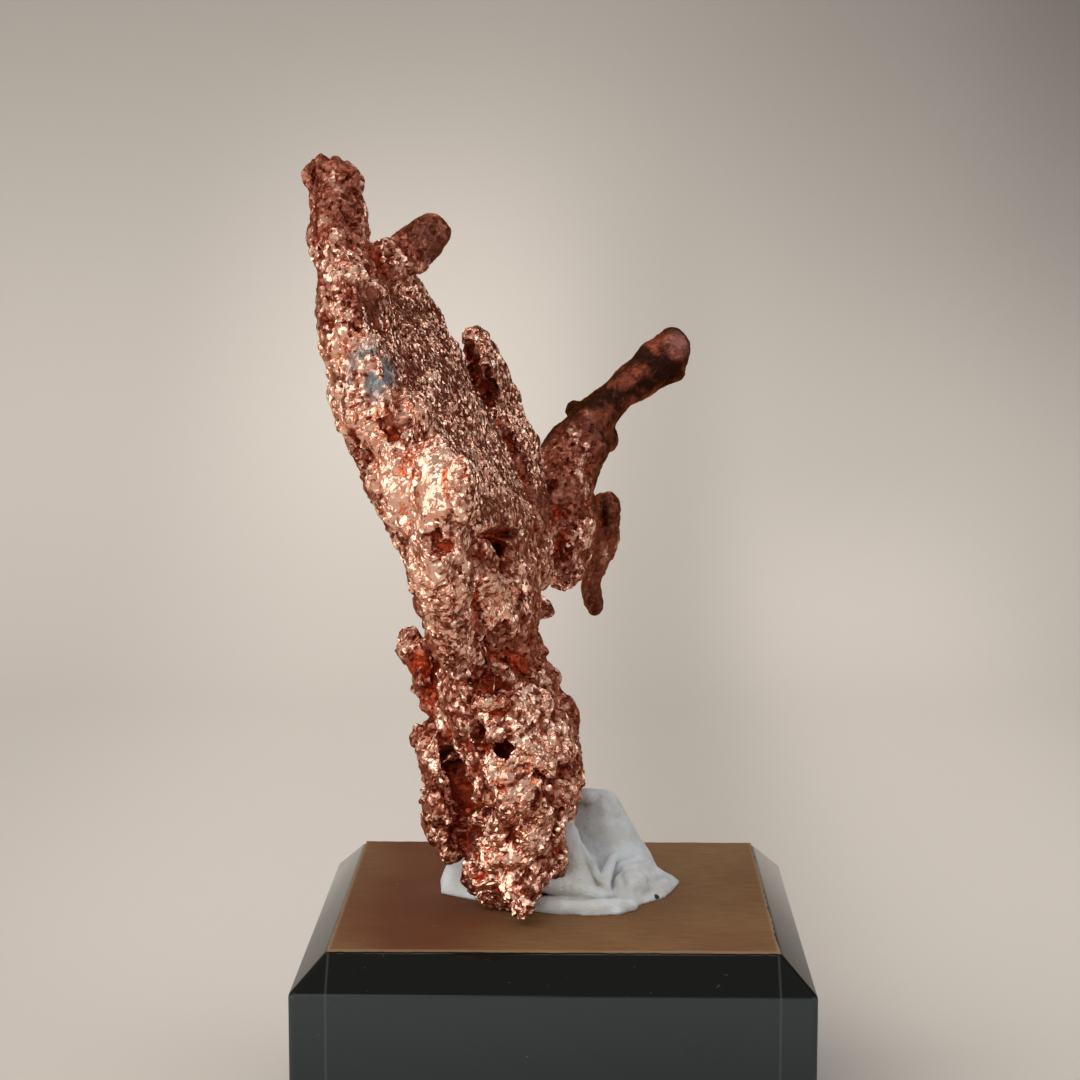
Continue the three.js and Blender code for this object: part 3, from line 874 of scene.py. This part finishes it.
# %% Build the putty
def putty_skin():
    """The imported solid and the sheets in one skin, moved out by 0.2 mm plus gentle noise, less the
    creases and the poked holes, and never lower than the paper."""
    points, faces = fused([merged_copy("putty")] + sheets, PUTTY_VOXEL)
    points = smoothed(points, faces, rounds=4)
    normals = normals_of(points, faces)
    lift = 0.2 + 0.12 * smooth_noise(points, 1.8, 51) + 0.05 * smooth_noise(points, 0.7, 52)
    lift -= 0.06 * np.abs(smooth_noise(points * [1, 1, 0.5], 1.1, 53)) ** 0.5
    for width, depth, path in creases:
        lift -= trench(points, width, depth, path)
    lift -= spots(points, poked)
    points = points + normals * lift[:, None]
    points[:, 2] = np.maximum(points[:, 2], deck)
    piece = add_piece("mounting_putty", points, faces)
    kept = piece.data.attributes.new("soiled_and_shaded", "FLOAT", "POINT")
    kept.data.foreach_set("value", spots(points, soiled_and_shaded).astype(np.float32))
    return piece


putty = putty_skin()

# %% [markdown]
# The putty is a pale blue grey, cooler in some places than in others, and a little light sinks into
# it. Grit and rust stick to it, most of all in the soiled places, which are also painted browner as
# shade in the crease and under the lip. One of the holes that were poked into its hem is painted
# nearly black inside as shade.

# %% The putty material
COOL_CLAY, WARM_CLAY = (0.69, 0.72, 0.75, 1), (0.6, 0.61, 0.6, 1)
SOIL_AND_SHADE, GRIT, HOLE_SHADE = (0.5, 0.44, 0.33, 1), (0.24, 0.21, 0.11, 1), (0.02, 0.015, 0.01, 1)
HEM_HOLE = (8.0, -2.5, deck + 0.4)

white, tree, shader, place = new_material("putty")
cloud = grouped(tree, mottle, {"Place": place, "Size": 3.0, "Amount": 0.5})["Mask"]
soil_and_shade = attribute(tree, "soiled_and_shaded")
sparse = grouped(tree, mottle, {"Place": place, "Size": 0.35, "Amount": 0.12})["Mask"]
dense = grouped(tree, mottle, {"Place": place, "Size": 0.28, "Amount": 0.55})["Mask"]
specks = maths(tree, "MAXIMUM", sparse, times(tree, dense, soil_and_shade))
# Painted shade inside the hole poked into the hem.
hem_hole_shade = ranged(tree, distance_to(tree, place, HEM_HOLE), 0.36, 0.28)
colour = mixed(tree, cloud, COOL_CLAY, WARM_CLAY)
# Browner in the soiled places: partly dirt, partly painted shade in the crease and under the lip.
colour = mixed(tree, times(tree, soil_and_shade, 0.5), colour, SOIL_AND_SHADE)
colour = mixed(tree, specks, colour, GRIT)
tree.links.new(mixed(tree, hem_hole_shade, colour, HOLE_SHADE), shader["Base Color"])
shader["Roughness"].default_value = 0.62
shader["Subsurface Weight"].default_value = 0.15
shader["Subsurface Radius"].default_value = (0.0015, 0.0012, 0.001)
grain = noise(tree, place, 3.5, detail=6.0, roughness=0.65)
bumped(tree, shader, grain, strength=0.5, depth=0.25)
print(white.name, "has", len(tree.nodes), "nodes")
putty.data.materials.append(white)
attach(putty, "root")
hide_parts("putty")

# %% [markdown]
# ## The block
# A machined and polished block of black acrylic. Its outline is a square whose upright corners are
# hardly rounded, carried up a profile: the side, the 45 degree bevel, and the top. Each edge of the
# profile is broken by a tiny round, which is what catches a line of light on the real one.

# %% Build the block
def rounded_profile(corners, radius, steps):
    """A line through corners. Each inner corner b gives way to the curve (1 - t)^2 a + 2t(1 - t) b +
    t^2 c, where a and c lie a radius before it and after it."""
    path = [corners[0]]
    for before, here, after in zip(corners, corners[1:], corners[2:]):
        inward = here + (before - here) * radius / np.linalg.norm(before - here)
        onward = here + (after - here) * radius / np.linalg.norm(after - here)
        for t in np.linspace(0, 1, steps):
            path.append((1 - t) ** 2 * inward + 2 * t * (1 - t) * here + t * t * onward)
    return np.array(path + [corners[-1]])


def square_rings(profile, corner_radius, steps):
    """For each (half width, height) of the profile, a square ring with rounded corners: the corner's
    centre plus the radius times (cos, sin)."""
    turn = np.concatenate([np.linspace(0, math.pi / 2, steps) + side * math.pi / 2 for side in range(4)])
    side = np.repeat(np.arange(4), steps)
    middle = math.pi / 4 + side * math.pi / 2
    half = profile[:, :1]
    reach = (half - corner_radius) * math.sqrt(2)
    x = reach * np.cos(middle) + corner_radius * np.cos(turn)
    y = reach * np.sin(middle) + corner_radius * np.sin(turn)
    return np.stack([x, y, profile[:, 1:] + 0 * x], -1)


BLOCK_EDGE, BLOCK_CORNER = 0.25, 0.5

half_width, _, block_top = node_box["display_block"][1]
half_top = node_box["kraft_paper"][1][0]
shoulder = float(block_top - (half_width - half_top))
corners = [(1, 0), (half_width, 0), (half_width, shoulder), (half_top, block_top), (1, block_top)]
profile = rounded_profile(np.array(corners), BLOCK_EDGE, steps=5)
block = add_piece("acrylic_block", *loft(square_rings(profile, BLOCK_CORNER, steps=6)))

# %% [markdown]
# The sides are dusty and greyer than the polished bevel, and paler towards it. A faint upright line
# near each end of the front face stands in for the glimmer that polished plastic has by its corners.

# %% The black acrylic material
SIDE_LOW, SIDE_HIGH = (0.03, 0.037, 0.038, 1), (0.04, 0.048, 0.048, 1)
BEVEL_BLACK, GLIMMER, DUST = (0.007, 0.007, 0.006, 1), (0.25, 0.26, 0.25, 1), (0.2, 0.19, 0.17, 1)
GLIMMER_X = 16.3

black, tree, shader, place = new_material("black_acrylic")
dust = grouped(tree, mottle, {"Place": place, "Size": 0.5, "Amount": 0.06})["Mask"]
haze = noise(tree, place, 0.12, detail=4.0)
axis = node(tree, "SeparateXYZ", {0: place})
polished = ranged(tree, axis["Z"], shoulder - 0.1, shoulder + 0.1)
side = mixed(tree, ranged(tree, axis["Z"], shoulder - 7.0, shoulder), SIDE_LOW, SIDE_HIGH)
colour = mixed(tree, polished, side, BEVEL_BLACK)
on_line = ranged(tree, away_from(tree, maths(tree, "ABSOLUTE", axis["X"]), GLIMMER_X), 0.14, 0.0, 0.0, 0.12)
glimmer = times(tree, on_line, ranged(tree, axis["Y"], -15.0, -16.5))
colour = mixed(tree, glimmer, colour, GLIMMER)
tree.links.new(mixed(tree, dust, colour, DUST), shader["Base Color"])
smear = ranged(tree, haze, 0.3, 0.7, 0.0, 0.06)
smear = plus(tree, smear, ranged(tree, polished, 0.0, 1.0, 0.14, 0.03))
tree.links.new(plus(tree, smear, times(tree, dust, 0.5)), shader["Roughness"])
shader["IOR"].default_value = 1.49
shader["Specular IOR Level"].default_value = 0.15
print(black.name, "has", len(tree.nodes), "nodes")
block.data.materials.append(black)
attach(block, "root")
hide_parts("display_block")

# %% [markdown]
# ## The paper
# Brown kraft paper protects new acrylic and was never peeled off here. It is a thin sheet, closed
# from square rings of points: out across its underside, up its rim, and in again across its top. The
# cut edge wanders by up to a quarter of a millimetre where the fibres frayed.

# %% Build the paper
def paper_sheet(half, low, high, steps):
    """A loft of six square rings. Each is a reach from the middle and a height: a small one below,
    four round the rim, frayed by noise, and a small one above."""
    rim = [[half - 0.12, low], [half, low + 0.02], [half, high - 0.03], [half - 0.1, high]]
    inset = np.array([[1.0, low]] + rim)
    side = np.linspace(-1, 1, steps, endpoint=False)
    x = np.concatenate([side, np.ones(steps), -side, -np.ones(steps)])
    y = np.concatenate([-np.ones(steps), side, np.ones(steps), -side])
    rings = np.stack([np.stack([x * reach, y * reach, 0 * x + up], -1) for reach, up in inset])
    rings = np.concatenate([rings, [np.stack([x, y, 0 * x + high], -1)]])
    fray = 0.07 * (smooth_noise(rings[3], 0.5, 61) + smooth_noise(rings[3], 2.3, 62)) - 0.12
    rings[1:5, :, :2] *= 1 + (fray / half)[None, :, None]
    return loft(rings)


paper_low, paper_high = node_box["kraft_paper"]
sheet = paper_sheet(half_top, paper_low[2], paper_high[2], steps=160)
paper = add_piece("kraft_paper_sheet", *sheet, smooth=False)

# %% [markdown]
# Long fibres run from left to right, with grit and pale flecks between them. Red brown stain patches
# lie here and there, and the left of the front, beside the nugget, is painted darker and redder as
# painted shadow and painted red reflection of the copper. The torn rim is paler.

# %% The kraft paper material
KRAFT_DARK, KRAFT_PALE = (0.15, 0.073, 0.029, 1), (0.26, 0.138, 0.056, 1)
STAIN_AND_SHADOW, FLECK, TORN_RIM = (0.13, 0.037, 0.01, 1), (0.36, 0.24, 0.15, 1), (0.3, 0.19, 0.11, 1)

kraft, tree, shader, place = new_material("kraft_paper")
along = node(tree, "Mapping", {"Vector": place, "Scale": (0.35, 6.0, 6.0)})["Vector"]
fibre = noise(tree, along, 1.0, roughness=0.7)
blotch = noise(tree, place, 0.12, detail=3.0)
grit = noise(tree, along, 3.0, detail=4.0, roughness=0.8)
fibre = plus(tree, times(tree, fibre, 0.55), times(tree, grit, 0.45))
colour = mixed(tree, ranged(tree, fibre, 0.38, 0.62), KRAFT_DARK, KRAFT_PALE)
axis = node(tree, "SeparateXYZ", {0: place})
# Painted shadow and painted red reflection of the copper on the left of the front, over random stain
# patches.
stain_and_shadow = times(tree, ranged(tree, axis["X"], -1.0, -9.0), ranged(tree, axis["X"], -16.5, -11.0, 0.35, 0.9))
stain_and_shadow = times(tree, stain_and_shadow, ranged(tree, axis["Y"], -16.5, -10.0, 0.7, 1.0))
stain_and_shadow = plus(tree, ranged(tree, blotch, 0.35, 0.7, 0.0, 0.35), stain_and_shadow)
colour = mixed(tree, stain_and_shadow, colour, STAIN_AND_SHADOW)
flecks = grouped(tree, mottle, {"Place": place, "Size": 0.4, "Amount": 0.1})["Mask"]
colour = mixed(tree, flecks, colour, FLECK)
reach = maths(tree, "MAXIMUM", maths(tree, "ABSOLUTE", axis["X"]), maths(tree, "ABSOLUTE", axis["Y"]))
torn = ranged(tree, reach, float(half_top) - 0.45, float(half_top) - 0.15, 0.0, 0.7)
tree.links.new(mixed(tree, torn, colour, TORN_RIM), shader["Base Color"])
shader["Roughness"].default_value = 0.75
shader["Specular IOR Level"].default_value = 0.2
bumped(tree, shader, fibre, strength=0.5, depth=0.1)
print(kraft.name, "has", len(tree.nodes), "nodes")
paper.data.materials.append(kraft)
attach(paper, "root")
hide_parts("kraft_paper")

# %% [markdown]
# ## The studio
# A pale sheet runs along the table and sweeps up behind, so that no horizon shows. It is a profile,
# two straight lines joined by a quarter circle, carried from left to right. Light never falls evenly
# on such a sheet, so it is painted a little darker high up, far to the right and just right of the
# nugget, and lighter to the nugget's left and low down to its right.

# %% Floor and backdrop
def backdrop(half, front, back, radius, top):
    """Points along the profile: the floor, then back + r sin(a), r - r cos(a), then the wall."""
    angle = np.linspace(0, math.pi / 2, 24)
    y = np.concatenate([[front], back + radius * np.sin(angle), [back + radius]])
    z = np.concatenate([[0], radius - radius * np.cos(angle), [top]])
    x = np.linspace(-half, half, 3)
    points = np.stack([np.repeat(x, len(y)), np.tile(y, 3), np.tile(z, 3)], -1)
    start = (np.arange(2)[:, None] * len(y) + np.arange(len(y) - 1)).ravel()
    faces = np.stack([start, start + len(y), start + len(y) + 1, start + 1], -1)
    return points, faces


SHEET_PALE, SHEET_DARK = (0.824, 0.757, 0.69, 1), (0.0, 0.0, 0.0, 1)

sweep = add_piece("studio_sweep", *backdrop(half=900, front=-900, back=180, radius=160, top=900))
pale, tree, shader, place = new_material("pale_sheet")
axis = node(tree, "SeparateXYZ", {0: place})
high = ranged(tree, axis["Z"], 0.0, 75.0)
aside = times(tree, ranged(tree, axis["X"], -20.0, 110.0, 0.0, 0.19), high)
aside = plus(tree, aside, ranged(tree, axis["X"], 65.0, 115.0, 0.0, 0.08))
left = ranged(tree, away_from(tree, axis["X"], -30.0), 55.0, 5.0, 0.0, 0.2)
left = times(tree, left, ranged(tree, axis["Z"], 120.0, 40.0))
left = times(tree, left, ranged(tree, axis["Z"], 5.0, 40.0, 0.6, 1.0))
right = ranged(tree, away_from(tree, axis["X"], 50.0), 40.0, 4.0, 0.0, 0.13)
right = times(tree, right, ranged(tree, axis["Z"], 30.0, 3.0))
dip = ranged(tree, away_from(tree, axis["X"], 14.0), 22.0, 2.0, 0.0, 0.11)
dip = times(tree, dip, ranged(tree, axis["Z"], 90.0, 10.0))
shade = less(tree, ranged(tree, axis["Z"], 20.0, 140.0, 0.74, 0.46), plus(tree, aside, dip))
shade = plus(tree, shade, plus(tree, left, right))
colour = mixed(tree, shade, SHEET_DARK, SHEET_PALE)
tree.links.new(colour, shader["Base Color"])
shader["Roughness"].default_value = 0.9
sweep.data.materials.append(pale)
print(pale.name, "has", len(tree.nodes), "nodes")

# %% [markdown]
# A wide window at the left front gives the copper its long highlights, and a smaller lamp beside it
# makes the facets sparkle. A weak fill from the right keeps the far side readable, and one lamp
# washes the sheet behind. A dim grey room fills the shadows.

# %% Lights
def soft_light(name, place, aim, width, power, colour=(1, 0.97, 0.93)):
    """A square lamp at a place, turned towards aim. Places and width are in millimetres, power is in
    watts."""
    lamp = bpy.data.objects.new(name, bpy.data.lights.new(name, "AREA"))
    lamp.data.size = width * MM
    lamp.data.energy = power
    lamp.data.color = colour
    lamp.location = np.array(place) * MM
    x, y, z = np.array(aim) - place
    lamp.rotation_euler = (math.atan2(math.hypot(x, y), -z), 0, math.atan2(-x, y))
    bpy.context.collection.objects.link(lamp)
    print(name, "gives", power, "W")


# The lamps for the nugget are aimed at its middle.
heart = (-5, -3, deck + 30)
soft_light("window", (-370, -270, 290), heart, 680, 2.25)
soft_light("lamp", (-110, -330, 330), heart, 200, 0.17)
soft_light("fill", (340, -160, 260), heart, 360, 0.4, (0.97, 0.98, 1))
soft_light("wall_wash", (20, 240, 430), (60, 260, 0), 280, 0.5)
ROOM_GREY = (0.4, 0.395, 0.385, 1)
room = bpy.data.worlds.new("room")
bpy.context.scene.world = room
room.use_nodes = True
room.node_tree.nodes["Background"].inputs["Color"].default_value = ROOM_GREY
bpy.context.scene.view_settings.view_transform = "Standard"
